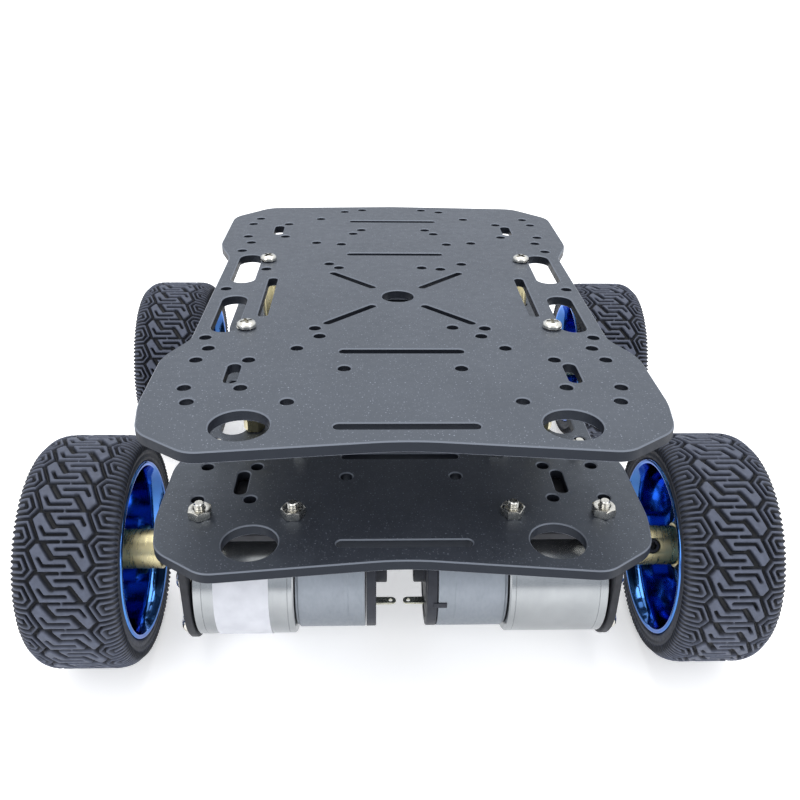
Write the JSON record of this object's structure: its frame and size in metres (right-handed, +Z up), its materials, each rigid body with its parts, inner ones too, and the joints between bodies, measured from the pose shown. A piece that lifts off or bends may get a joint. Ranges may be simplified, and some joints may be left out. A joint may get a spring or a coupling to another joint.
{
  "type": "four wheel robot chassis",
  "caption": "Two slotted aluminium decks on brass standoffs, with four bracketed gearmotors that drive rubber tyred wheels on blue chromed rims.",
  "frame": {"origin": "on the ground, below the middle of the object's box", "axes": "+X to the robot's right seen from in front, +Y from the nose to the tail, +Z up out of the top deck"},
  "size_m": [0.1932, 0.1908, 0.0893],
  "materials": {
    "plate": "blasted and dark anodised, satin",
    "brass": "machined",
    "nickel": "nickel plated",
    "tyre": "moulded rubber, matte",
    "foam": "open sponge",
    "rim": "blue chromed",
    "gearbox": "satin nickel",
    "motor_can": "matte zinc",
    "black_plastic": "moulded",
    "black_steel": "black oxide",
    "bracket": "black, satin"
  },
  "bodies": {
    "chassis": {"bottom_plate": "plate", "top_plate": "plate", "standoff_front_left": "brass", "top_screw_front_left": "nickel", "bottom_screw_front_left": "nickel", "standoff_front_right": "brass", "top_screw_front_right": "nickel", "bottom_screw_front_right": "nickel", "standoff_rear_left": "brass", "top_screw_rear_left": "nickel", "bottom_screw_rear_left": "nickel", "standoff_rear_right": "brass", "top_screw_rear_right": "nickel", "bottom_screw_rear_right": "nickel", "bracket_front_left": "bracket", "gearbox_front_left": "gearbox", "motor_can_front_left": "motor_can", "motor_end_cap_front_left": "black_plastic", "bracket_front_right": "bracket", "gearbox_front_right": "gearbox", "motor_can_front_right": "motor_can", "motor_end_cap_front_right": "black_plastic", "bracket_rear_left": "bracket", "gearbox_rear_left": "gearbox", "motor_can_rear_left": "motor_can", "motor_end_cap_rear_left": "black_plastic", "bracket_rear_right": "bracket", "gearbox_rear_right": "gearbox", "motor_can_rear_right": "motor_can", "motor_end_cap_rear_right": "black_plastic"},
    "wheel_front_left": {"output_shaft_front_left": "nickel", "hex_coupling_front_left": "brass", "set_screw_front_left": "black_steel", "rim_front_left": "rim", "tyre_foam_front_left": "foam", "tyre_front_left": "tyre", "wheel_screw_front_left": "nickel"},
    "wheel_front_right": {"output_shaft_front_right": "nickel", "hex_coupling_front_right": "brass", "set_screw_front_right": "black_steel", "rim_front_right": "rim", "tyre_foam_front_right": "foam", "tyre_front_right": "tyre", "wheel_screw_front_right": "nickel"},
    "wheel_rear_left": {"output_shaft_rear_left": "nickel", "hex_coupling_rear_left": "brass", "set_screw_rear_left": "black_steel", "rim_rear_left": "rim", "tyre_foam_rear_left": "foam", "tyre_rear_left": "tyre", "wheel_screw_rear_left": "nickel"},
    "wheel_rear_right": {"output_shaft_rear_right": "nickel", "hex_coupling_rear_right": "brass", "set_screw_rear_right": "black_steel", "rim_rear_right": "rim", "tyre_foam_rear_right": "foam", "tyre_rear_right": "tyre", "wheel_screw_rear_right": "nickel"}
  },
  "joints": [
    {"name": "wheel_spin_front_left", "type": "hinge", "parent": "chassis", "child": "wheel_front_left", "pos_m": [0, -0.05775, 0.032], "axis": [1, 0, 0], "continuous": true},
    {"name": "wheel_spin_front_right", "type": "hinge", "parent": "chassis", "child": "wheel_front_right", "pos_m": [0, -0.05775, 0.032], "axis": [1, 0, 0], "continuous": true},
    {"name": "wheel_spin_rear_left", "type": "hinge", "parent": "chassis", "child": "wheel_rear_left", "pos_m": [0, 0.06275, 0.032], "axis": [1, 0, 0], "continuous": true},
    {"name": "wheel_spin_rear_right", "type": "hinge", "parent": "chassis", "child": "wheel_rear_right", "pos_m": [0, 0.06275, 0.032], "axis": [1, 0, 0], "continuous": true}
  ]
}
